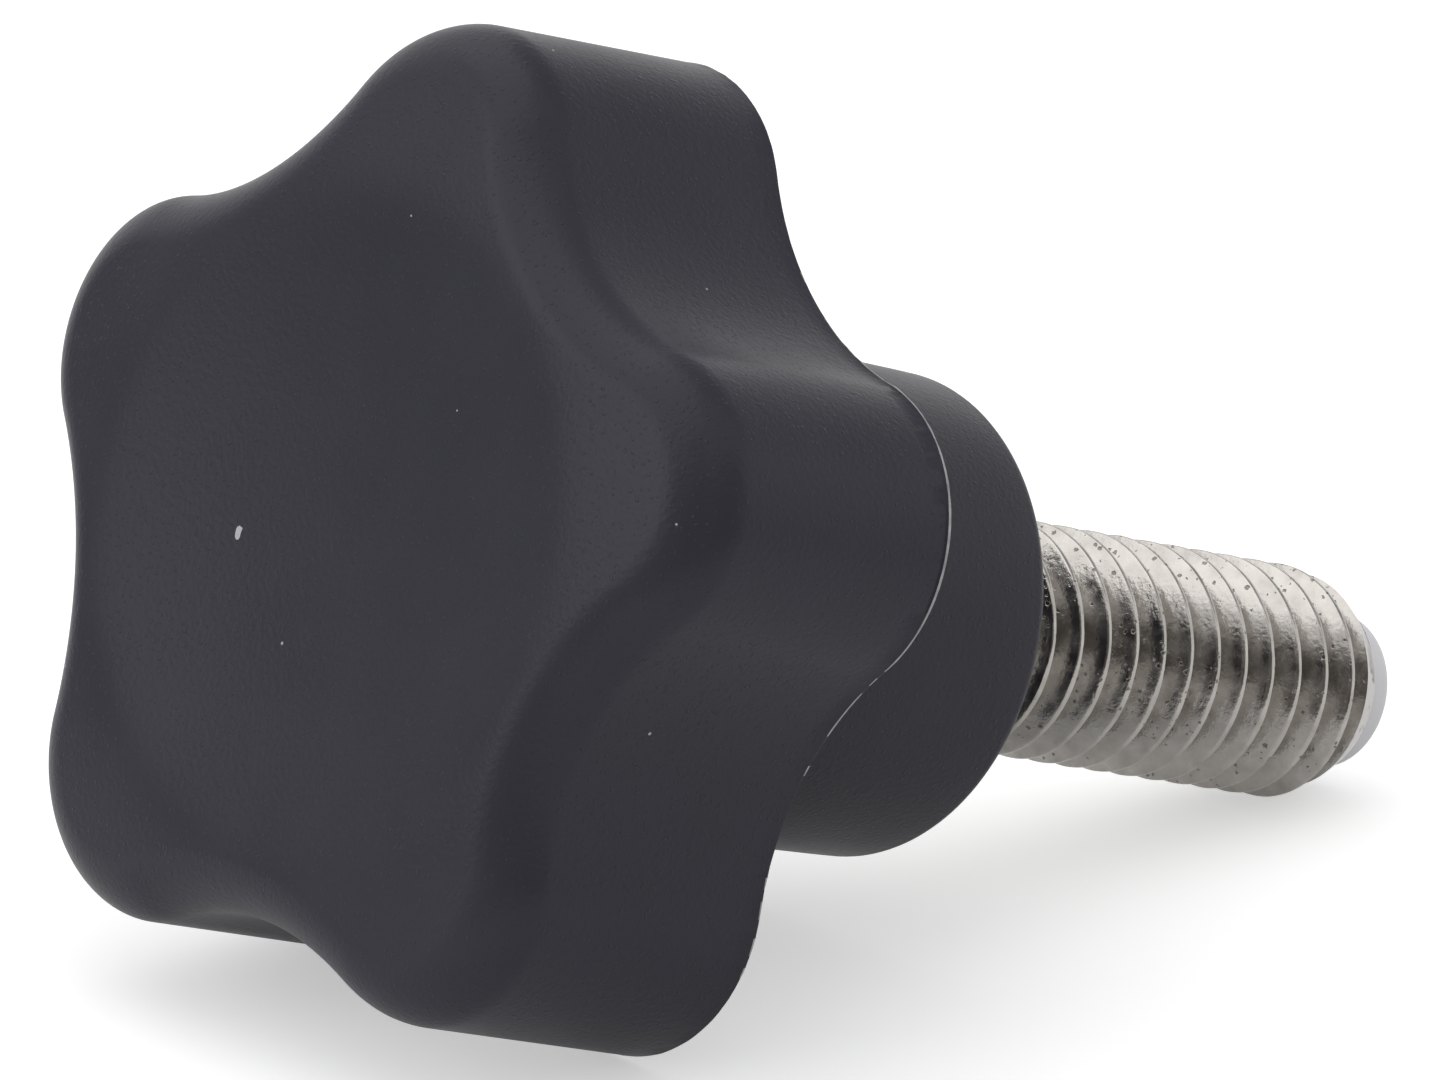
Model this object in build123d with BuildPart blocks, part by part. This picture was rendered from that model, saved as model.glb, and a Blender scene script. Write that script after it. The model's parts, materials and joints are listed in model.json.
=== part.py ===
from build123d import *
import os
from math import atan2, cos, pi, radians, sin, sqrt, tan

os.makedirs("parts", exist_ok=True)

# A star knob with a moulded-in M6 stud and a pressed-in thrust tip, in millimetres.
# The origin is the middle of the hub's seating face, on the thread's axis.
# The knob lies as it comes to rest: on the back rim of two lobes and on the end of its stud.
# +Z is up, and the stud points to +X and down. Distances along the axis are measured from the
# seating face, positive towards the stud's end.

# ---- driving dimensions ----

# head: the star-shaped grip
lobe_count = 5
head_radius = 12.5          # axis to the tip of a lobe, at the back rim
lobe_radius = 3.9           # rounding of a lobe's tip
hollow_depth = 1.15         # between two lobes, below the straight line that touches both
head_height = 9.2           # back rim to the top of the domed front
side_draft = 0.5            # degrees, narrower towards the front
dome_radius = 61.0          # curvature of the front
front_rounding = 1.7        # fillet between the front and the sides

# dish: the round hollow in the front
dish_radius = 8.0
dish_depth = 0.75           # below the dish's own rim
dish_edge_rounding = 1.0

# hub: the neck that carries the stud
hub_length = 10.1           # back rim to the seating face
hub_radius = 6.05           # at the seating face
hub_draft = 1.2             # degrees, wider towards the head
hub_end_chamfer = 0.3

# stud: M6, modelled as a plain cylinder at the thread's major diameter
thread_diameter = 6.0
stud_length = 16.0          # seating face to the stud's end face
end_chamfer_length = 1.0
end_chamfer_depth = 0.7

# the moulded-in end of the stud
shoulder_diameter = 7.0     # flush with the seating face, it seals the mould off from the thread
shoulder_length = 1.5
neck_diameter = 5.35        # blank diameter that the thread is rolled on
neck_length = 1.5
collar_across_flats = 8.0
collar_length = 5.0
collar_chamfer = 0.3

# thrust tip: a plastic plug with a stem in the stud's bore
tip_diameter = 4.0
tip_height = 1.0            # stands out of the stud's end face
tip_edge_chamfer = 0.25
stem_diameter = 2.5
stem_length = 3.0
bore_end_clearance = 0.2    # beyond the stem's end
drill_point_angle = 118.0   # degrees, the cone at the bore's bottom

# ---- worked out from them ----

thread_radius = thread_diameter / 2
stem_radius = stem_diameter / 2
bore_depth = stem_length + bore_end_clearance
half_pitch_angle = pi / lobe_count
half_pitch_cosine = cos(half_pitch_angle)

# The knob rests on two lobes that lie half a pitch either side of straight down, and on the edge
# where the stud's end chamfer begins. The line through both sets the tilt of the axis.
lobe_centre_radius = head_radius - lobe_radius
resting_radius = lobe_centre_radius * half_pitch_cosine + lobe_radius
stud_edge_distance = stud_length - end_chamfer_length
tilt = atan2(resting_radius - thread_radius, hub_length + stud_edge_distance)

axis_direction = Vector(cos(tilt), 0, -sin(tilt))
upward = Vector(sin(tilt), 0, cos(tilt))
knob_axis = Axis((0, 0, 0), axis_direction)

# Sketches across the axis: local x points up to the top lobe.
seat_plane = Plane(origin=(0, 0, 0), x_dir=upward, z_dir=axis_direction)
back_rim_plane = Plane(
    origin=axis_direction * -hub_length, x_dir=upward, z_dir=-axis_direction
)
# Sketches of half sections: local x runs along the axis to the stud's end, local y is the radius.
section_plane = Plane(origin=(0, 0, 0), x_dir=axis_direction, z_dir=(0, -1, 0))

front_top = -(hub_length + head_height)


def dome_point(radius):
    """Point of the domed front in a half section, at a radius."""
    return (front_top + dome_radius - sqrt(dome_radius**2 - radius**2), radius)


def polar(radius, angle):
    """Point of a sketch from its radius and its angle in radians."""
    return (radius * cos(angle), radius * sin(angle))


# ---- threaded stud ----
# Stainless steel: threaded end, sealing shoulder, neck, and a hexagonal collar that locks it in
# the hub.

collar_face = -(shoulder_length + neck_length)
bore_bottom = stud_length - bore_depth
drill_point = bore_bottom - stem_radius / tan(radians(drill_point_angle / 2))

with BuildPart() as threaded_stud:
    with BuildSketch(section_plane):
        with BuildLine():
            Polyline(
                (collar_face, 0),
                (collar_face, neck_diameter / 2),
                (-shoulder_length, neck_diameter / 2),
                (-shoulder_length, shoulder_diameter / 2),
                (0, shoulder_diameter / 2),
                (0, thread_radius),
                (stud_edge_distance, thread_radius),
                (stud_length, thread_radius - end_chamfer_depth),
                (stud_length, stem_radius),
                (bore_bottom, stem_radius),
                (drill_point, 0),
                close=True,
            )
        make_face()
    revolve(axis=knob_axis)
    with BuildSketch(seat_plane.offset(collar_face)):
        RegularPolygon(radius=collar_across_flats / 2, side_count=6, major_radius=False)
    extrude(amount=-collar_length)
    collar_end = threaded_stud.faces().sort_by(knob_axis)[0]
    chamfer(collar_end.edges(), length=collar_chamfer)
threaded_stud.part.label = "threaded_stud"

# ---- thrust tip ----
# White plastic: its stem is pressed in the bore, and its shoulder sits on the stud's end face.

with BuildPart() as thrust_tip:
    with BuildSketch(seat_plane.offset(stud_length)):
        Circle(tip_diameter / 2)
    extrude(amount=tip_height)
    contact_face = thrust_tip.faces().sort_by(knob_axis)[-1]
    chamfer(contact_face.edges(), length=tip_edge_chamfer)
    with BuildSketch(seat_plane.offset(stud_length)):
        Circle(stem_radius)
    extrude(amount=-stem_length)
thrust_tip.part.label = "thrust_tip"

# ---- knob body ----
# One moulding of black plastic: drafted star, domed and dished front, rounded rim, and hub,
# moulded around the stud.

# A hollow between two lobes is an arc that runs smoothly into both of them.
waist_radius = resting_radius - hollow_depth
hollow_radius = (
    lobe_centre_radius**2
    + waist_radius**2
    - 2 * lobe_centre_radius * waist_radius * half_pitch_cosine
    - lobe_radius**2
) / (2 * hollow_depth)
hollow_centre_radius = waist_radius + hollow_radius

# Half the angle that a lobe's arc spans about its own centre, up to where the hollow begins.
to_hollow_x = hollow_centre_radius * half_pitch_cosine - lobe_centre_radius
to_hollow_y = hollow_centre_radius * sin(half_pitch_angle)
lobe_half_span = atan2(to_hollow_y, to_hollow_x)


def lobe_end(lobe_angle, side):
    """Point where a lobe's arc meets the hollow on its one or other side."""
    centre = Vector(*polar(lobe_centre_radius, lobe_angle))
    reach = Vector(*polar(lobe_radius, lobe_angle + side * lobe_half_span))
    return centre + reach


# The front's half section: the dish is an arc up to its rim, then the dome goes on past the lobes.
dish_rim = dome_point(dish_radius)
dish_middle = (dish_rim[0] + dish_depth, 0)
dish_sphere_radius = (dish_radius**2 + dish_depth**2) / (2 * dish_depth)
dish_halfway_radius = dish_radius / 2
dish_halfway_rise = dish_sphere_radius - sqrt(dish_sphere_radius**2 - dish_halfway_radius**2)
dish_halfway = (dish_middle[0] - dish_halfway_rise, dish_halfway_radius)
clear_radius = head_radius + 1
between_radius = (dish_radius + clear_radius) / 2

hub_root_radius = hub_radius + hub_length * tan(radians(hub_draft))

with BuildPart() as knob_body:
    # the star, from its back rim to just above the front
    with BuildSketch(back_rim_plane):
        with BuildLine():
            for lobe in range(lobe_count):
                lobe_angle = 2 * half_pitch_angle * lobe
                next_angle = lobe_angle + 2 * half_pitch_angle
                hollow_angle = lobe_angle + half_pitch_angle
                ThreePointArc(
                    lobe_end(lobe_angle, -1),
                    polar(head_radius, lobe_angle),
                    lobe_end(lobe_angle, 1),
                )
                ThreePointArc(
                    lobe_end(lobe_angle, 1),
                    polar(waist_radius, hollow_angle),
                    lobe_end(next_angle, -1),
                )
        make_face()
    extrude(amount=head_height, taper=side_draft)

    # the domed front and its dish, cut to shape together
    with BuildSketch(section_plane) as front_form:
        with BuildLine():
            ThreePointArc(dish_middle, dish_halfway, dish_rim)
            ThreePointArc(dish_rim, dome_point(between_radius), dome_point(clear_radius))
            Polyline(
                dome_point(clear_radius),
                (-hub_length, clear_radius),
                (-hub_length, 0),
                dish_middle,
            )
        make_face()
        rim_corner = front_form.vertices().sort_by_distance(Vector(*dish_rim))[0]
        fillet(rim_corner, radius=dish_edge_rounding)
    revolve(axis=knob_axis, mode=Mode.INTERSECT)

    # the soft edge round the front, along the outline of the dome
    outlines = [face.outer_wire() for face in knob_body.faces().filter_by(GeomType.SPHERE)]
    dome_outline = max(outlines, key=lambda outline: outline.length)
    fillet(dome_outline.edges(), radius=front_rounding)

    # the hub, with its edge broken at the seating face
    with BuildSketch(section_plane) as hub_section:
        with BuildLine():
            Polyline(
                (-hub_length, 0),
                (-hub_length, hub_root_radius),
                (0, hub_radius),
                (0, 0),
                close=True,
            )
        make_face()
        seat_corner = hub_section.vertices().sort_by_distance(Vector(0, hub_radius))[0]
        chamfer(seat_corner, length=hub_end_chamfer)
    revolve(axis=knob_axis)

    # moulded around the stud's shoulder, neck and collar
    add(threaded_stud.part, mode=Mode.SUBTRACT)
knob_body.part.label = "knob_body"

# ---- write the pieces ----

for piece in (knob_body, threaded_stud, thrust_tip):
    export_step(piece.part, f"parts/{piece.part.label}.step")
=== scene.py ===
import json
from math import cos, pi, radians, sin, tan

import bmesh
import bpy
import numpy as np
from mathutils import Matrix, Vector, noise


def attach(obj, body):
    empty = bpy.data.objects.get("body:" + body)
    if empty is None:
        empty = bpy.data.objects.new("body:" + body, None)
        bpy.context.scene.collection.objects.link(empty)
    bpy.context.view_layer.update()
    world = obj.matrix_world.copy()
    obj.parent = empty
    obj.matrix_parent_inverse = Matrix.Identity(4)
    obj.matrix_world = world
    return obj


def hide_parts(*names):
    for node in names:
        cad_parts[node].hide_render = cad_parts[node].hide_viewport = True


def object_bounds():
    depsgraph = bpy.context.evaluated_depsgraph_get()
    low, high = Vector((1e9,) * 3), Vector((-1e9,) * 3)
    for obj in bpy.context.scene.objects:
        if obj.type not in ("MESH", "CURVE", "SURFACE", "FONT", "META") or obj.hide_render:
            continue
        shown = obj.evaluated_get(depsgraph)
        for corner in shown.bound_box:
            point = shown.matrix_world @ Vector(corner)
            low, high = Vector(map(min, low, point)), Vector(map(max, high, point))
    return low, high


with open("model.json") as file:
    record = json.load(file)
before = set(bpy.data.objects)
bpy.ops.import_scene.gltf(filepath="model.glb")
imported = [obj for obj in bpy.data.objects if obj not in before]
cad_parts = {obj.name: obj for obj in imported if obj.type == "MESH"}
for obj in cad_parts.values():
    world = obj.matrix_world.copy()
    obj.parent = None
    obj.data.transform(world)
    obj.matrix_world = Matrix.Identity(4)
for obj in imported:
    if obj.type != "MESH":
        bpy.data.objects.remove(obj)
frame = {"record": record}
cad_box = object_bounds()

# ---- Grip ----
# The black grip and its hub are one moulding of nylon with a fine matt grain. It was moulded round
# the stud, in a mould that parts at the back rim of the head, where a thin and slightly ragged
# flash is left.

MM = 0.001
LOBES = 5
HEAD_RADIUS = 12.5
LOBE_RADIUS = 3.9
HOLLOW_DEPTH = 1.15
HEAD_HEIGHT = 9.2
SIDE_DRAFT = radians(0.5)
DOME_RADIUS = 61.0
FRONT_ROUNDING = 1.4
DISH_RADIUS = 8.0
DISH_DEPTH = 0.75
DISH_EDGE_SOFTNESS = 0.22
HUB_LENGTH = 10.1
HUB_RADIUS = 6.05
HUB_DRAFT = radians(1.2)
HUB_END_ROUNDING = 0.35
HUB_ROOT_ROUNDING = 0.5
SHOULDER_RADIUS = 3.5
SHOULDER_LENGTH = 1.5
NECK_RADIUS = 2.675
COLLAR_FACE = -3.0
COLLAR_END = -8.0
COLLAR_APOTHEM = 4.0
SEAT_GAP = 0.4
FLASH_REACH = 0.045
FLASH_THICKNESS = 0.11
FLASH_LIP = 0.02
FLASH_LOBE = 2 * pi / LOBES
FLASH_LOBE_SPREAD = radians(33)
FLASH_SHARE = 0.15
FLASH_SWELL = 0.75
SLOW_RAGGEDNESS, SLOW_WAVES = 0.3, 0.45
QUICK_RAGGEDNESS, QUICK_WAVES = 0.5, 3.5
LEAST_FLASH_SHARE = 0.05
FLASH_EDGE_THINNING = 0.75
WALL_FOOT = 0.2
DISH_SHARE = 0.62
MIDDLE_SHARE = 0.02
LOBE_POINTS = 56
HOLLOW_POINTS = 24

# The knob lies tilted on two of its lobes and on the end of its stud. Each piece is shaped about
# the thread's axis, in millimetres from the seating face, and then turned into the frame.
mounts = {mount["name"]: mount for mount in frame["record"]["mounts"]}
stud_direction = Vector(mounts["stud"]["axis"]).normalized()
across = Vector((0, -1, 0))
top_lobe_direction = across.cross(stud_direction)
knob_axes = Matrix((top_lobe_direction, across, stud_direction)).transposed()


def in_frame(point):
    """A point given as (towards the top lobe, across, along the stud) in mm, in the frame's metres."""
    return knob_axes @ Vector(point) * MM


def ring(radius, height, angles):
    """Points of a circle about the axis; radius may be one number or one for each angle."""
    return [
        (r * cos(a), r * sin(a), height)
        for r, a in zip(np.broadcast_to(radius, len(angles)), angles)
    ]


def anchor_rings(angles):
    """Rings of the stud's hidden anchor, and of the cavity round it: collar, neck and shoulder."""
    hexagon = COLLAR_APOTHEM / np.cos((angles % (pi / 3)) - pi / 6)
    return [
        ring(hexagon, COLLAR_END, angles),
        ring(hexagon, COLLAR_FACE, angles),
        ring(NECK_RADIUS, COLLAR_FACE, angles),
        ring(NECK_RADIUS, -SHOULDER_LENGTH, angles),
        ring(SHOULDER_RADIUS, -SHOULDER_LENGTH, angles),
        ring(SHOULDER_RADIUS, 0, angles),
    ]


def skin(name, rings):
    """A closed mesh through a row of rings, with its first and last ring filled by a fan."""
    mesh = bpy.data.meshes.new(name)
    shape = bmesh.new()
    loops = [[shape.verts.new(in_frame(point)) for point in points] for points in rings]
    for lower, upper in zip(loops, loops[1:]):
        for i in range(len(lower)):
            j = (i + 1) % len(lower)
            shape.faces.new((lower[i], lower[j], upper[j], upper[i]))
    for loop in (loops[0], loops[-1]):
        middle = sum((vert.co for vert in loop), Vector()) / len(loop)
        centre = shape.verts.new(middle)
        for i in range(len(loop)):
            shape.faces.new((loop[i], loop[(i + 1) % len(loop)], centre))
    bmesh.ops.recalc_face_normals(shape, faces=shape.faces)
    shape.to_mesh(mesh)
    shape.free()
    piece = bpy.data.objects.new(name, mesh)
    bpy.context.collection.objects.link(piece)
    return piece


def shade(piece, crease_degrees):
    """Smooth shading, with edges that turn by more than the given angle kept sharp."""
    piece.data.shade_smooth()
    piece.data.set_sharp_from_angle(angle=radians(crease_degrees))


# the star: arcs round the lobes, joined by tangent arcs in the hollows
half_pitch = pi / LOBES
lobe_centre = HEAD_RADIUS - LOBE_RADIUS
waist = lobe_centre * cos(half_pitch) + LOBE_RADIUS - HOLLOW_DEPTH
hollow_radius = (
    lobe_centre**2 + waist**2 - 2 * lobe_centre * waist * cos(half_pitch) - LOBE_RADIUS**2
) / (2 * HOLLOW_DEPTH)
hollow_centre = waist + hollow_radius
lobe_span = np.arctan2(
    hollow_centre * sin(half_pitch), hollow_centre * cos(half_pitch) - lobe_centre
)
hollow_span = lobe_span - half_pitch


def arc(centre_distance, middle, radius, turns):
    """Points of an arc whose centre lies in the direction middle; turns are angles from it."""
    centre = centre_distance * np.array([cos(middle), sin(middle)])
    angles = middle + turns
    return centre + radius * np.column_stack([np.cos(angles), np.sin(angles)])


def outline(inset):
    """The star seen from the front, moved in by inset."""
    lobe_turns = np.linspace(-lobe_span, lobe_span, LOBE_POINTS, endpoint=False)
    hollow_turns = np.linspace(hollow_span, -hollow_span, HOLLOW_POINTS, endpoint=False)
    arcs = []
    for lobe in range(LOBES):
        middle = 2 * half_pitch * lobe
        hollow_middle = middle + half_pitch
        arcs.append(arc(lobe_centre, middle, LOBE_RADIUS - inset, lobe_turns))
        arcs.append(arc(hollow_centre, hollow_middle, -hollow_radius - inset, hollow_turns))
    return np.concatenate(arcs)


def front(radius):
    """Height of the front face at a radius: a dome with a round dish cut in it, softly edged."""
    dome_top = -(HUB_LENGTH + HEAD_HEIGHT)
    dome = dome_top + DOME_RADIUS - np.sqrt(DOME_RADIUS**2 - radius**2)
    rim = dome_top + DOME_RADIUS - np.sqrt(DOME_RADIUS**2 - DISH_RADIUS**2)
    sphere = (DISH_RADIUS**2 + DISH_DEPTH**2) / (2 * DISH_DEPTH)
    dish = rim + DISH_DEPTH - sphere + np.sqrt(sphere**2 - radius**2)
    return (dome + dish + np.sqrt((dome - dish) ** 2 + DISH_EDGE_SOFTNESS**2)) / 2


def raise_ring(points, heights):
    """Points of a plane outline with a height, or one height for each point."""
    return [(x, y, h) for (x, y), h in zip(points, np.broadcast_to(heights, len(points)))]


def flash_shares(points):
    """How far the flash stands out at each point, as a share: most on the lobe beside the top one."""
    shares = []
    for x, y in points:
        away = np.arctan2(y, x) - FLASH_LOBE
        swell = np.exp(-((away / FLASH_LOBE_SPREAD) ** 2))
        # two layers of one noise, read at heights that keep them apart
        slow = noise.noise(Vector((x, y, 3.1)) * SLOW_WAVES)
        quick = noise.noise(Vector((x, y, 7.7)) * QUICK_WAVES)
        share = FLASH_SHARE + FLASH_SWELL * swell + SLOW_RAGGEDNESS * slow + QUICK_RAGGEDNESS * quick
        shares.append(min(max(share, LEAST_FLASH_SHARE), 1.0))
    return np.array(shares)


star = outline(0)
star_angles = np.arctan2(star[:, 1], star[:, 0])

# the cavity round the stud, from its bottom out to the seating face
rings = anchor_rings(star_angles)
# the seating face and the hub's soft end
for radius in np.linspace(SHOULDER_RADIUS + SEAT_GAP, HUB_RADIUS - HUB_END_ROUNDING, 4):
    rings.append(ring(radius, 0, star_angles))
for turn in np.linspace(0, pi / 2, 9)[1:]:
    radius = HUB_RADIUS - HUB_END_ROUNDING * (1 - sin(turn))
    rings.append(ring(radius, -HUB_END_ROUNDING * (1 - cos(turn)), star_angles))
# the hub's side down to its root
root_start = -(HUB_LENGTH - HUB_ROOT_ROUNDING)
for height in np.linspace(-HUB_END_ROUNDING, root_start, 13)[1:]:
    rings.append(ring(HUB_RADIUS - height * tan(HUB_DRAFT), height, star_angles))
root_radius = HUB_RADIUS - root_start * tan(HUB_DRAFT)
for turn in np.linspace(0, pi / 2, 7)[1:]:
    radius = root_radius + HUB_ROOT_ROUNDING * (1 - cos(turn))
    rings.append(ring(radius, root_start - HUB_ROOT_ROUNDING * sin(turn), star_angles))
# the flat back of the head, spreading from a circle to the star
back_edge = outline(FLASH_REACH + FLASH_THICKNESS)
root_circle = np.array([(x, y) for x, y, h in rings[-1]])
for share in np.linspace(0, 1, 9)[1:]:
    rings.append(raise_ring(root_circle * (1 - share) + back_edge * share, -HUB_LENGTH))
# the flash at the parting line
first_strip = len(rings) - 1
flash = flash_shares(star)
wall_foot = outline(FLASH_REACH)
flash_edge = wall_foot + (star - wall_foot) * flash[:, None]
flash_back = -HUB_LENGTH - FLASH_LIP
rings.append(raise_ring((wall_foot + flash_edge) / 2, -HUB_LENGTH))
rings.append(raise_ring(flash_edge, flash_back))
rings.append(raise_ring(flash_edge, flash_back - FLASH_EDGE_THINNING * FLASH_THICKNESS * flash))
last_strip = len(rings) - 1
rings.append(raise_ring(wall_foot, flash_back - FLASH_THICKNESS))
# the drafted side, up to where the front's rounding begins
wall_end = front(np.hypot(star[:, 0], star[:, 1])) + FRONT_ROUNDING
for share in np.linspace(0, 1, 15)[1:]:
    height = (-HUB_LENGTH - WALL_FOOT) * (1 - share) + wall_end * share
    rise = -HUB_LENGTH - np.mean(height)
    rings.append(raise_ring(outline(FLASH_REACH + rise * tan(SIDE_DRAFT)), height))
# the rounded edge of the front
wall_top_inset = FLASH_REACH + (-HUB_LENGTH - np.mean(wall_end)) * tan(SIDE_DRAFT)
for turn in np.linspace(0, pi / 2, 19)[1:]:
    edge = outline(wall_top_inset + FRONT_ROUNDING * (1 - cos(turn)))
    height = front(np.hypot(edge[:, 0], edge[:, 1])) + FRONT_ROUNDING * (1 - sin(turn))
    rings.append(raise_ring(edge, height))
# the dome and the dish, in to the middle
edge_radii = np.hypot(edge[:, 0], edge[:, 1])
shares = np.concatenate(
    [np.linspace(1, DISH_SHARE, 60)[1:], np.linspace(DISH_SHARE, MIDDLE_SHARE, 22)[1:]]
)
for share in shares:
    rings.append(raise_ring(edge * share, front(edge_radii * share)))

grip = skin("grip", rings)
shade(grip, crease_degrees=40)
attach(grip, "root")
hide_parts("knob_body")


def new_material(name):
    """An empty material with a Principled shader; gives it, its node tree and the shader."""
    material = bpy.data.materials.new(name)
    material.use_nodes = True
    tree = material.node_tree
    tree.nodes.clear()
    output = tree.nodes.new("ShaderNodeOutputMaterial")
    shader = tree.nodes.new("ShaderNodeBsdfPrincipled")
    tree.links.new(shader.outputs["BSDF"], output.inputs["Surface"])
    return material, tree, shader


def feed(tree, value, socket):
    """Links the value into the socket where it is a socket too, and otherwise sets it."""
    if isinstance(value, bpy.types.NodeSocket):
        tree.links.new(value, socket)
    else:
        socket.default_value = value


def math_node(tree, operation, first, second):
    """A math node whose two inputs are sockets or plain numbers; gives its output."""
    node = tree.nodes.new("ShaderNodeMath")
    node.operation = operation
    feed(tree, first, node.inputs[0])
    feed(tree, second, node.inputs[1])
    return node.outputs[0]


def vector_node(tree, operation, vector, other):
    """A vector math node on a vector and another one, or a number for SCALE; gives its output."""
    node = tree.nodes.new("ShaderNodeVectorMath")
    node.operation = operation
    tree.links.new(vector, node.inputs[0])
    feed(tree, other, node.inputs["Scale"] if operation == "SCALE" else node.inputs[1])
    return node.outputs[0]


def vary(tree, amount, low, high, span=(0, 1)):
    """A number that goes from low to high as the amount crosses its span."""
    node = tree.nodes.new("ShaderNodeMapRange")
    for socket, value in zip(("From Min", "From Max", "To Min", "To Max"), (*span, low, high)):
        node.inputs[socket].default_value = value
    tree.links.new(amount, node.inputs["Value"])
    return node.outputs["Result"]


def blend_colour(tree, amount, first, second):
    """Mixes two colours, each a socket or a plain colour, by an amount; gives the colour."""
    node = tree.nodes.new("ShaderNodeMix")
    node.data_type = "RGBA"
    tree.links.new(amount, node.inputs["Factor"])
    colours = [socket for socket in node.inputs if socket.type == "RGBA"]
    feed(tree, first, colours[0])
    feed(tree, second, colours[1])
    return next(socket for socket in node.outputs if socket.type == "RGBA")


def raise_surface(tree, shader, height, depth, strength):
    """Bumps the shader's surface by a height whose full step is depth, in mm."""
    bump = tree.nodes.new("ShaderNodeBump")
    bump.inputs["Distance"].default_value = depth * MM
    bump.inputs["Strength"].default_value = strength
    tree.links.new(height, bump.inputs["Height"])
    tree.links.new(bump.outputs["Normal"], shader.inputs["Normal"])


def effect_group(name, inputs, outputs):
    """A node group that reads a place and numbers; gives its tree, the place in mm and both ends."""
    tree = bpy.data.node_groups.new(name, "ShaderNodeTree")
    tree.interface.new_socket("Place", in_out="INPUT", socket_type="NodeSocketVector")
    for socket in inputs:
        tree.interface.new_socket(socket, in_out="INPUT", socket_type="NodeSocketFloat")
    for socket in outputs:
        tree.interface.new_socket(socket, in_out="OUTPUT", socket_type="NodeSocketFloat")
    entry = tree.nodes.new("NodeGroupInput")
    leave = tree.nodes.new("NodeGroupOutput")
    place = vector_node(tree, "SCALE", entry.outputs["Place"], 1 / MM)
    return tree, place, entry, leave


def place_effect(tree, effect, place, settings):
    """Puts an effect group in a material, reading the given place, with its own settings."""
    group = tree.nodes.new("ShaderNodeGroup")
    group.node_tree = effect
    tree.links.new(place, group.inputs["Place"])
    for socket, value in settings.items():
        group.inputs[socket].default_value = value
    return group


# Fine grain: the grain of a mould or the drawn skin of metal, as a height and as a slower
# cloudiness. Each has its own number of waves in a millimetre.
fine_grain, place, entry, leave = effect_group(
    "fine_grain", ["Per millimetre", "Clouds per millimetre"], ["Height", "Clouds"]
)
for socket, detail, result in (
    ("Per millimetre", 3, "Height"),
    ("Clouds per millimetre", 4, "Clouds"),
):
    waves = fine_grain.nodes.new("ShaderNodeTexNoise")
    waves.inputs["Detail"].default_value = detail
    fine_grain.links.new(place, waves.inputs["Vector"])
    fine_grain.links.new(entry.outputs[socket], waves.inputs["Scale"])
    fine_grain.links.new(waves.outputs["Fac"], leave.inputs[result])

# Specks: scattered dots, such as dust on plastic or pits in metal. Rarity from 0 to 1 thins them
# out, Reach is their radius as a share of the distance between them, and Warp makes them uneven.
WARP_FINENESS = 2.5
SPECK_CORE = 0.6
specks, place, entry, leave = effect_group(
    "specks", ["Per millimetre", "Rarity", "Reach", "Warp"], ["Mask"]
)
waves = specks.nodes.new("ShaderNodeTexNoise")
specks.links.new(place, waves.inputs["Vector"])
quick_scale = math_node(specks, "MULTIPLY", entry.outputs["Per millimetre"], WARP_FINENESS)
specks.links.new(quick_scale, waves.inputs["Scale"])
shift = vector_node(specks, "SCALE", waves.outputs["Color"], entry.outputs["Warp"])
cells = specks.nodes.new("ShaderNodeTexVoronoi")
specks.links.new(vector_node(specks, "ADD", place, shift), cells.inputs["Vector"])
specks.links.new(entry.outputs["Per millimetre"], cells.inputs["Scale"])
chance = specks.nodes.new("ShaderNodeSeparateColor")
specks.links.new(cells.outputs["Color"], chance.inputs["Color"])
chosen = math_node(specks, "GREATER_THAN", chance.outputs[0], entry.outputs["Rarity"])
size = math_node(specks, "MULTIPLY", entry.outputs["Reach"], chance.outputs[1])
near = specks.nodes.new("ShaderNodeMapRange")
near.interpolation_type = "SMOOTHSTEP"
specks.links.new(cells.outputs["Distance"], near.inputs["Value"])
specks.links.new(size, near.inputs["From Min"])
specks.links.new(math_node(specks, "MULTIPLY", size, SPECK_CORE), near.inputs["From Max"])
mask = math_node(specks, "MULTIPLY", chosen, near.outputs["Result"])
specks.links.new(mask, leave.inputs["Mask"])

NYLON_LOW, NYLON_HIGH = (0.029, 0.0282, 0.038, 1), (0.036, 0.0348, 0.0465, 1)
NYLON_PAINTED_GLINT = (0.07, 0.068, 0.085, 1)
PAINTED_GLINT_AMOUNT = 0.12
DUST = (0.42, 0.42, 0.43, 1)
FLECK_PLACE = (-0.92, -3.3, -18.15)
FLECK_SIZE = (1.0, 0.11, 0.19)
FLECK_SPREAD = 0.4
black_nylon, tree, shader = new_material("moulded_black_nylon")
place = tree.nodes.new("ShaderNodeTexCoord").outputs["Object"]
grain = place_effect(
    tree, fine_grain, place, {"Per millimetre": 7.0, "Clouds per millimetre": 0.35}
)
sparkle = place_effect(
    tree, specks, place, {"Per millimetre": 8.0, "Rarity": 0.4, "Reach": 0.45, "Warp": 0.04}
)
dust = place_effect(
    tree, specks, place, {"Per millimetre": 1.1, "Rarity": 0.88, "Reach": 0.08, "Warp": 0}
)
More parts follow.
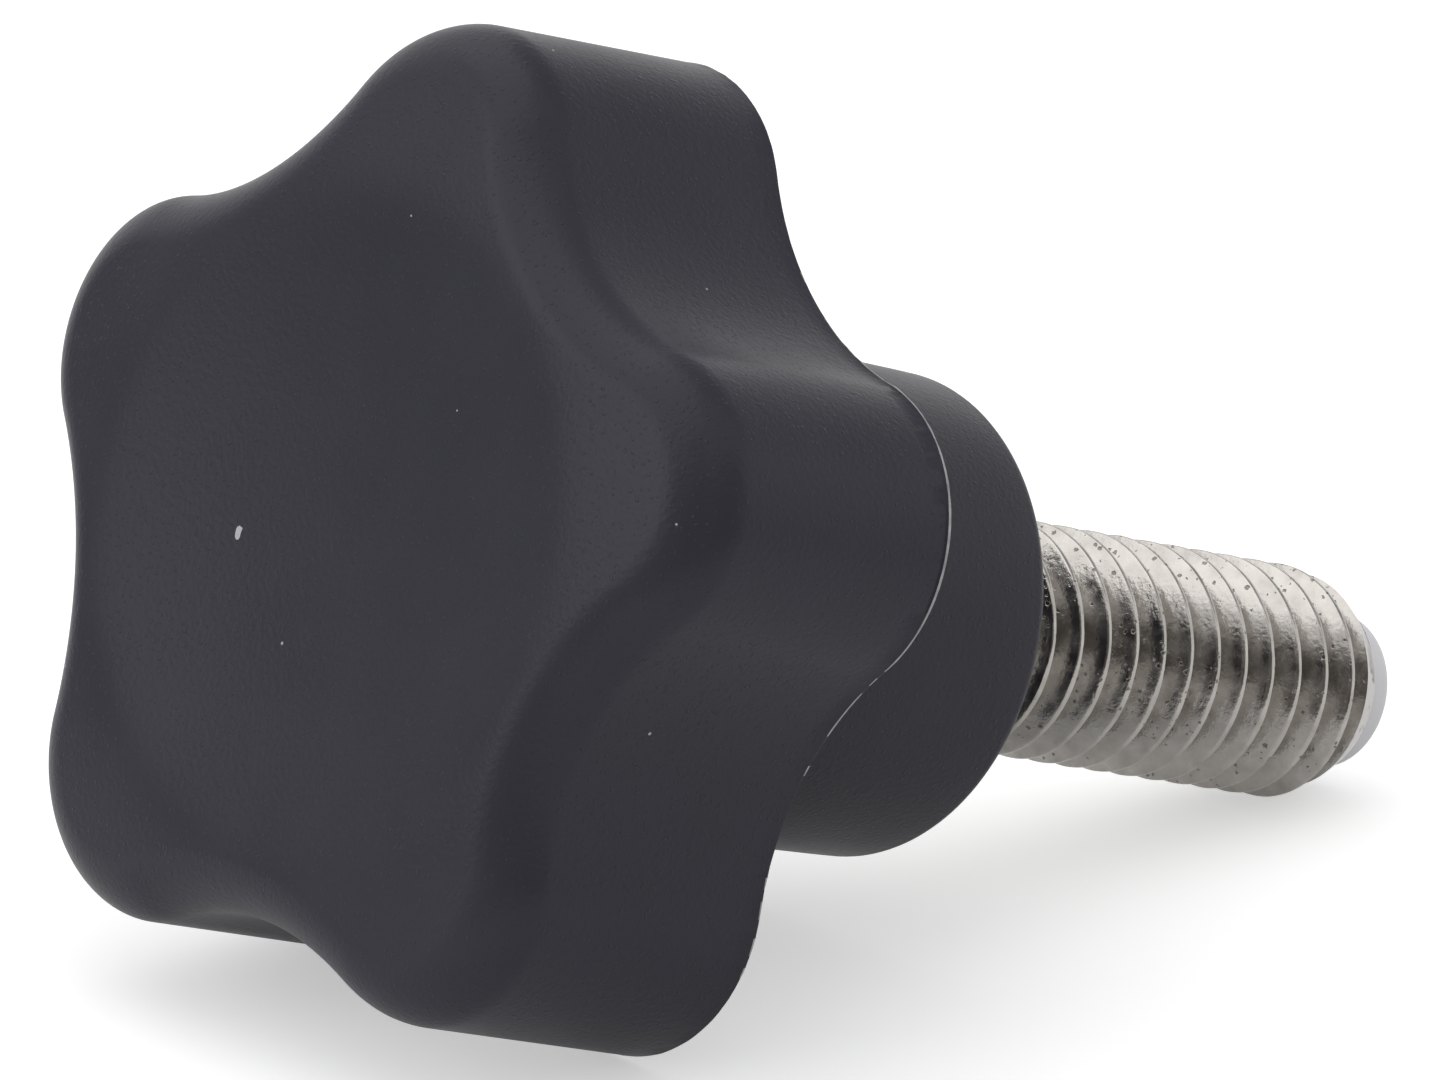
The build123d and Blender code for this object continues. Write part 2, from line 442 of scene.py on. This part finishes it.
# a pale fleck in the dish, a little ragged
from_fleck = vector_node(tree, "SUBTRACT", place, in_frame(FLECK_PLACE))
in_flecks = vector_node(tree, "DIVIDE", from_fleck, Vector(FLECK_SIZE) * MM)
distance = tree.nodes.new("ShaderNodeVectorMath")
distance.operation = "LENGTH"
tree.links.new(in_flecks, distance.inputs[0])
ragged = math_node(tree, "ADD", grain.outputs["Height"], FLECK_SPREAD)
fleck = math_node(tree, "LESS_THAN", distance.outputs["Value"], ragged)
pale = math_node(tree, "MAXIMUM", dust.outputs["Mask"], fleck)
tone = blend_colour(tree, grain.outputs["Clouds"], NYLON_LOW, NYLON_HIGH)
# painted glints: specks of the grain are made lighter in the colour, as a painted highlight where tiny
# facets catch the light; the same specks also raise the relief below
painted_glint = math_node(tree, "MULTIPLY", sparkle.outputs["Mask"], PAINTED_GLINT_AMOUNT)
with_painted_glints = blend_colour(tree, painted_glint, tone, NYLON_PAINTED_GLINT)
tree.links.new(blend_colour(tree, pale, with_painted_glints, DUST), shader.inputs["Base Color"])
tree.links.new(vary(tree, grain.outputs["Clouds"], 0.26, 0.42), shader.inputs["Roughness"])
shader.inputs["IOR"].default_value = 1.25
relief = math_node(tree, "ADD", grain.outputs["Height"], sparkle.outputs["Mask"])
raise_surface(tree, shader, relief, 0.014, 1.0)
grip.data.materials.append(black_nylon)

# where the flash stands out, it is pale: partly scuffed, stress-whitened nylon, partly a painted
# highlight where the thin fin catches the light
FLASH_DARK, FLASH_PALE_AND_HIGHLIT = (0.08, 0.08, 0.08, 1), (0.55, 0.55, 0.54, 1)
SCUFFED_AND_HIGHLIT_SHARE = 0.4
scuffed_and_highlit_flash, tree, shader = new_material("scuffed_and_highlit_nylon_flash")
place = tree.nodes.new("ShaderNodeTexCoord").outputs["Object"]
flash_mottle = place_effect(
    tree, fine_grain, place, {"Per millimetre": 7.0, "Clouds per millimetre": 2.5}
)
tone = blend_colour(tree, flash_mottle.outputs["Clouds"], FLASH_DARK, FLASH_PALE_AND_HIGHLIT)
tree.links.new(tone, shader.inputs["Base Color"])
shader.inputs["Roughness"].default_value = 0.5
raise_surface(tree, shader, flash_mottle.outputs["Height"], 0.012, 0.8)
grip.data.materials.append(scuffed_and_highlit_flash)
# the pale colour, partly painted highlight, goes only where the flash stands out most, on the lobe
# beside the top one
for strip in range(first_strip, last_strip):
    for i, share in enumerate(flash):
        if share > SCUFFED_AND_HIGHLIT_SHARE:
            grip.data.polygons[strip * len(star) + i].material_index = 1

# ---- Threaded stud ----
# The stud is stainless steel with a rolled metric thread, a chamfered end and a bore for the tip.
# Its shoulder, neck and hexagonal collar sit in the moulding and keep it from turning. Rolling
# leaves bright crests, and small pits and streaks on the flanks.

PITCH = 1.0
THREAD_RADIUS = 2.98
THREAD_DEPTH = 0.6134 * PITCH
CREST_HALF_WIDTH = PITCH / 16
FLANK_SLOPE = 1 / tan(radians(30))
ROOT_SOFTNESS = 0.05
CREST_SOFTNESS = 0.02
THREAD_START = -1.76
THREAD_TURNS = 19
TURN_STEPS = 128
DENT = 0.012
DENT_WAVES = 4
CAP_MARGIN = 1
STUD_LENGTH = 16.0
END_CHAMFER_LENGTH = 1.25
END_CHAMFER_DEPTH = 0.66
BORE_RADIUS = 1.25
BORE_DEPTH = 3.2
DRILL_POINT = 0.7
BLANK_START = -0.5
BLANK_SPARE = 0.05
BLANK_MIDDLE = 0.3
DRILL_TIP = 0.1
ROUND_POINTS = 96


def thread_radius(phase):
    """Radius of the thread's surface at a place within a pitch, from -0.5 to 0.5, crest at 0."""
    flank = THREAD_RADIUS + (CREST_HALF_WIDTH - abs(phase) * PITCH) * FLANK_SLOPE
    root = THREAD_RADIUS - THREAD_DEPTH
    rooted = (root + flank + np.hypot(root - flank, ROOT_SOFTNESS)) / 2
    return (THREAD_RADIUS + rooted - np.hypot(THREAD_RADIUS - rooted, CREST_SOFTNESS)) / 2


# places across a turn, closer together at the root and at the crest
falling = [0.46, 0.43, 0.4, 0.34, 0.22, 0.12, 0.085, 0.065, 0.045, 0.02]
phases = [-0.5] + [-phase for phase in falling] + [0] + falling[::-1]
helix_mesh = bpy.data.meshes.new("helix")
shape = bmesh.new()
rows = []
for turn in range(THREAD_TURNS):
    for phase in phases:
        row = []
        for step in range(TURN_STEPS):
            angle = 2 * pi * step / TURN_STEPS
            height = THREAD_START + (turn + phase + step / TURN_STEPS) * PITCH
            dent = noise.noise(Vector((cos(angle), sin(angle), height)) * DENT_WAVES)
            radius = thread_radius(phase) + DENT * dent
            row.append(shape.verts.new((radius * cos(angle), radius * sin(angle), height)))
        rows.append(row)
for i in range(len(rows) - 1):
    for step in range(TURN_STEPS - 1):
        corners = (rows[i][step], rows[i][step + 1], rows[i + 1][step + 1], rows[i + 1][step])
        shape.faces.new(corners)
    # the end of each turn meets the start of the next one
    j = i + len(phases)
    if j + 1 < len(rows):
        shape.faces.new((rows[i][-1], rows[j][0], rows[j + 1][0], rows[i + 1][-1]))
open_edges = [edge for edge in shape.edges if edge.is_boundary]
thread_end = THREAD_START + THREAD_TURNS * PITCH
middle_height = (THREAD_START + thread_end) / 2
for low, cap_height in ((True, THREAD_START - CAP_MARGIN), (False, thread_end + CAP_MARGIN)):
    centre = shape.verts.new((0, 0, cap_height))
    for edge in open_edges:
        if (edge.verts[0].co.z < middle_height) == low:
            shape.faces.new((edge.verts[0], edge.verts[1], centre))
bmesh.ops.recalc_face_normals(shape, faces=shape.faces)
for vert in shape.verts:
    vert.co = in_frame(vert.co)
shape.to_mesh(helix_mesh)
shape.free()
stud = bpy.data.objects.new("threaded_stud_thread", helix_mesh)
bpy.context.collection.objects.link(stud)

# the thread is cut to a chamfered and drilled blank, and joined to its anchor
round_angles = np.linspace(0, 2 * pi, ROUND_POINTS, endpoint=False)
bore_bottom = STUD_LENGTH - BORE_DEPTH
blank = skin(
    "blank",
    [
        ring(BLANK_MIDDLE, BLANK_START, round_angles),
        ring(THREAD_RADIUS + BLANK_SPARE, BLANK_START, round_angles),
        ring(THREAD_RADIUS + BLANK_SPARE, STUD_LENGTH - END_CHAMFER_LENGTH, round_angles),
        ring(THREAD_RADIUS - END_CHAMFER_DEPTH, STUD_LENGTH, round_angles),
        ring(BORE_RADIUS, STUD_LENGTH, round_angles),
        ring(BORE_RADIUS, bore_bottom, round_angles),
        ring(DRILL_TIP, bore_bottom - DRILL_POINT, round_angles),
    ],
)
anchor = skin("anchor", anchor_rings(round_angles))
for tool, operation in ((blank, "INTERSECT"), (anchor, "UNION")):
    cut = stud.modifiers.new(operation, "BOOLEAN")
    cut.operation = operation
    cut.object = tool
    cut.solver = "EXACT"
depsgraph = bpy.context.evaluated_depsgraph_get()
cut_mesh = bpy.data.meshes.new_from_object(stud.evaluated_get(depsgraph))
stud.modifiers.clear()
stud.data = cut_mesh
for tool in (blank, anchor):
    bpy.data.objects.remove(tool)
shade(stud, crease_degrees=32)
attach(stud, "root")
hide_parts("threaded_stud")

STEEL_DULL, STEEL_BRIGHT = (0.27, 0.247, 0.225, 1), (0.64, 0.62, 0.59, 1)
PIT = (0.05, 0.04, 0.035, 1)
PITTED_ABOVE = 0.48
PIT_SHADE_DARKNESS = 0.65
steel, tree, shader = new_material("rolled_stainless_steel")
place = tree.nodes.new("ShaderNodeTexCoord").outputs["Object"]
skin_marks = place_effect(
    tree, fine_grain, place, {"Per millimetre": 8.0, "Clouds per millimetre": 1.8}
)
pits = place_effect(
    tree, specks, place, {"Per millimetre": 6.0, "Rarity": 0.5, "Reach": 0.46, "Warp": 0.12}
)
patches = place_effect(
    tree, fine_grain, place, {"Per millimetre": 8.0, "Clouds per millimetre": 0.35}
)
pitted_patch = math_node(tree, "GREATER_THAN", patches.outputs["Clouds"], PITTED_ABOVE)
pit_mask = math_node(tree, "MULTIPLY", pits.outputs["Mask"], pitted_patch)
tone = blend_colour(tree, skin_marks.outputs["Clouds"], STEEL_DULL, STEEL_BRIGHT)
# painted shade: the steel's colour is darkened at the pits, for the shade inside their small hollows
painted_pit_shade = math_node(tree, "MULTIPLY", pit_mask, PIT_SHADE_DARKNESS)
tree.links.new(blend_colour(tree, painted_pit_shade, tone, PIT), shader.inputs["Base Color"])
shader.inputs["Metallic"].default_value = 1
polish = vary(tree, skin_marks.outputs["Clouds"], 0.1, 0.3, span=(0.3, 0.7))
tree.links.new(polish, shader.inputs["Roughness"])
hollows = math_node(tree, "MULTIPLY", pit_mask, -2.0)
streaks = math_node(tree, "MULTIPLY", skin_marks.outputs["Clouds"], 1.6)
relief = math_node(tree, "ADD", skin_marks.outputs["Height"], hollows)
raise_surface(tree, shader, math_node(tree, "ADD", relief, streaks), 0.015, 0.45)
stud.data.materials.append(steel)

# ---- Thrust tip ----
# A small turned tip of white acetal stands out of the stud's end, so that the knob clamps without
# marking. Its stem is pressed into the bore, and its rim is lightly rounded.

TIP_RADIUS = 2.0
TIP_HEIGHT = 1.0
TIP_EDGE = 0.3
STEM_LENGTH = 3.0
STEM_MIDDLE = 0.2
FACE_RADII = (1.2, 0.6, 0.1)
tip_top = STUD_LENGTH + TIP_HEIGHT
rings = [
    ring(STEM_MIDDLE, STUD_LENGTH - STEM_LENGTH, round_angles),
    ring(BORE_RADIUS, STUD_LENGTH - STEM_LENGTH, round_angles),
    ring(BORE_RADIUS, STUD_LENGTH, round_angles),
    ring(TIP_RADIUS, STUD_LENGTH, round_angles),
]
for turn in np.linspace(0, pi / 2, 9):
    radius = TIP_RADIUS - TIP_EDGE * (1 - cos(turn))
    rings.append(ring(radius, tip_top - TIP_EDGE * (1 - sin(turn)), round_angles))
for radius in FACE_RADII:
    rings.append(ring(radius, tip_top, round_angles))
tip = skin("tip", rings)
shade(tip, crease_degrees=40)
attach(tip, "root")
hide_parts("thrust_tip")

ACETAL_LOW, ACETAL_HIGH = (0.64, 0.64, 0.67, 1), (0.71, 0.71, 0.735, 1)
white_acetal, tree, shader = new_material("white_acetal")
place = tree.nodes.new("ShaderNodeTexCoord").outputs["Object"]
grain = place_effect(
    tree, fine_grain, place, {"Per millimetre": 6.0, "Clouds per millimetre": 1.0}
)
tone = blend_colour(tree, grain.outputs["Clouds"], ACETAL_LOW, ACETAL_HIGH)
tree.links.new(tone, shader.inputs["Base Color"])
shader.inputs["Roughness"].default_value = 0.42
raise_surface(tree, shader, grain.outputs["Height"], 0.006, 0.4)
tip.data.materials.append(white_acetal)

# ---- Table ----
# A pale matt table carries the knob. It shows white to the camera and in reflections, and keeps
# the knob's shadow.

FLOOR_SIZE = 6
CAMERA_LIFT, MIRRORED_LIFT = 0.45, 0.2
bpy.context.scene.view_settings.view_transform = "Standard"
floor_height = cad_box[0][2]
bpy.ops.mesh.primitive_plane_add(size=FLOOR_SIZE, location=(0, 0, floor_height))
floor = bpy.context.object
floor.name = "floor"


def seen_rays(tree):
    """Whether a ray comes from the camera, and whether it comes off gloss or through glass."""
    path = tree.nodes.new("ShaderNodeLightPath")
    mirrored = math_node(
        tree, "MAXIMUM", path.outputs["Is Glossy Ray"], path.outputs["Is Transmission Ray"]
    )
    return path.outputs["Is Camera Ray"], mirrored


table, tree, shader = new_material("pale_table")
shader.inputs["Base Color"].default_value = (0.8, 0.8, 0.8, 1)
shader.inputs["Roughness"].default_value = 0.9
shader.inputs["Specular IOR Level"].default_value = 0.1
shader.inputs["Emission Color"].default_value = (1, 1, 1, 1)
from_camera, mirrored = seen_rays(tree)
camera_lift = math_node(tree, "MULTIPLY", from_camera, CAMERA_LIFT)
mirrored_lift = math_node(tree, "MULTIPLY", mirrored, MIRRORED_LIFT)
lift = math_node(tree, "ADD", mirrored_lift, camera_lift)
tree.links.new(lift, shader.inputs["Emission Strength"])
floor.data.materials.append(table)

# ---- Camera ----
# A long lens looks down a little at the front of the knob, past its side to the end of the stud.

AIM = Vector((-4.031, 1.183, 2.382)) * MM
DISTANCE = 294.24 * MM
AZIMUTH = radians(-131.919)
ELEVATION = radians(16.422)
ROLL = radians(1.063)
backward = Vector((cos(ELEVATION) * cos(AZIMUTH), cos(ELEVATION) * sin(AZIMUTH), sin(ELEVATION)))
camera_data = bpy.data.cameras.new("camera")
camera_data.sensor_width = 36
camera_data.lens = 300
camera_data.clip_start = 0.01
camera_data.clip_end = 20
camera = bpy.data.objects.new("camera", camera_data)
bpy.context.collection.objects.link(camera)
level = backward.to_track_quat("Z", "Y").to_matrix()
turned = (level @ Matrix.Rotation(ROLL, 3, "Z")).to_4x4()
camera.matrix_world = Matrix.Translation(AIM + backward * DISTANCE) @ turned
bpy.context.scene.camera = camera

# ---- Light tent ----
# The knob stands in a white tent, under a soft light from above and another from the left. The
# tent hangs grey at the front, back and left side, with a dark slit for the lens and dark cloths
# on the table, and only reflections see these.

TENT_LIGHT = 0.7
TOP_PLACE, TOP_SIZE, TOP_POWER = (-0.1, 0.1, 0.5), (0.7, 0.5), 0.8
LEFT_PLACE, LEFT_SIZE, LEFT_POWER = (-0.43, 0.15, 0.2), (0.35, 0.3), 0.5
TENT_DISTANCE = 0.6
NEAR_DISTANCE = TENT_DISTANCE - 0.02
CLOTH_START = 0.06
CLOTH_LIFT = MM / 5
FRONT_TURNS, FRONT_TOP = (radians(-60), radians(70)), radians(38)
SLIT_TURNS, SLIT_TOP = (radians(-7), radians(7)), radians(62)
SIDE_TURNS, SIDE_TOP = (radians(-132), radians(-85)), radians(17)
SIDE_CLOTH_TURNS = (radians(-132), radians(-60))
BACK_TURNS, BACK_RISES = (radians(100), radians(178)), (radians(25), radians(72))
FRONT_TONE = (0.2, 0.19, 0.18, 1)
SLIT_TONE = (0.03, 0.03, 0.03, 1)
CLOTH_TONE = (0.14, 0.135, 0.13, 1)
SIDE_TONE = (0.3, 0.3, 0.32, 1)
BACK_TONE = (0.45, 0.45, 0.47, 1)
PANEL_COLUMNS, PANEL_ROWS = 14, 6

tent = bpy.data.worlds.new("light_tent")
bpy.context.scene.world = tent
tent.use_nodes = True
tree = tent.node_tree
from_camera, mirrored = seen_rays(tree)
seen = math_node(tree, "MAXIMUM", from_camera, mirrored)
whiter = math_node(tree, "MULTIPLY", seen, 1 - TENT_LIGHT)
background = tree.nodes["Background"]
background.inputs["Color"].default_value = (1, 1, 1, 1)
tree.links.new(math_node(tree, "ADD", whiter, TENT_LIGHT), background.inputs["Strength"])


def soft_box(name, place, size, power):
    """A rectangular area light that faces the knob, in metres and watts."""
    lamp = bpy.data.lights.new(name, "AREA")
    lamp.shape = "RECTANGLE"
    lamp.size, lamp.size_y = size
    lamp.energy = power
    holder = bpy.data.objects.new(name, lamp)
    holder.location = place
    holder.rotation_euler = Vector(place).to_track_quat("Z", "Y").to_euler()
    bpy.context.collection.objects.link(holder)


soft_box("top_light", TOP_PLACE, TOP_SIZE, TOP_POWER)
soft_box("left_light", LEFT_PLACE, LEFT_SIZE, LEFT_POWER)


def tent_place(turn, rise, distance):
    """A place round the knob, by its angles right of the camera and above the table."""
    azimuth = AZIMUTH + turn
    level_part = Vector((cos(azimuth), sin(azimuth), 0)) * cos(rise)
    foot = Vector((0, 0, floor_height + CLOTH_LIFT))
    return (level_part + Vector((0, 0, sin(rise)))) * distance + foot


def tent_panel(name, turns, rises, distances, tone):
    """A bent panel of the tent between two turns; its lower and upper edge have a rise and distance."""
    corners = []
    for turn in np.linspace(*turns, PANEL_COLUMNS):
        for rise, distance in zip(
            np.linspace(*rises, PANEL_ROWS), np.linspace(*distances, PANEL_ROWS)
        ):
            corners.append(tent_place(turn, rise, distance))
    faces = []
    for column in range(PANEL_COLUMNS - 1):
        for row in range(PANEL_ROWS - 1):
            i = column * PANEL_ROWS + row
            faces.append((i, i + 1, i + 1 + PANEL_ROWS, i + PANEL_ROWS))
    mesh = bpy.data.meshes.new(name)
    mesh.from_pydata(corners, [], faces)
    panel = bpy.data.objects.new(name, mesh)
    bpy.context.collection.objects.link(panel)
    panel.visible_camera = False
    panel.visible_shadow = False
    panel.visible_diffuse = False
    cloth, tree, shader = new_material(name)
    shader.inputs["Base Color"].default_value = (0, 0, 0, 1)
    shader.inputs["Specular IOR Level"].default_value = 0
    shader.inputs["Emission Color"].default_value = tone
    shader.inputs["Emission Strength"].default_value = 1
    panel.data.materials.append(cloth)


upright = (TENT_DISTANCE, TENT_DISTANCE)
before_front = (NEAR_DISTANCE, NEAR_DISTANCE)
on_table = (CLOTH_START, NEAR_DISTANCE)
tent_panel("tent_front", FRONT_TURNS, (0, FRONT_TOP), upright, FRONT_TONE)
tent_panel("tent_slit", SLIT_TURNS, (0, SLIT_TOP), before_front, SLIT_TONE)
tent_panel("tent_back", BACK_TURNS, BACK_RISES, upright, BACK_TONE)
tent_panel("side_cloth", SIDE_CLOTH_TURNS, (0, 0), on_table, SIDE_TONE)
tent_panel("table_cloth", FRONT_TURNS, (0, 0), on_table, CLOTH_TONE)
tent_panel("tent_side", SIDE_TURNS, (0, SIDE_TOP), upright, SIDE_TONE)
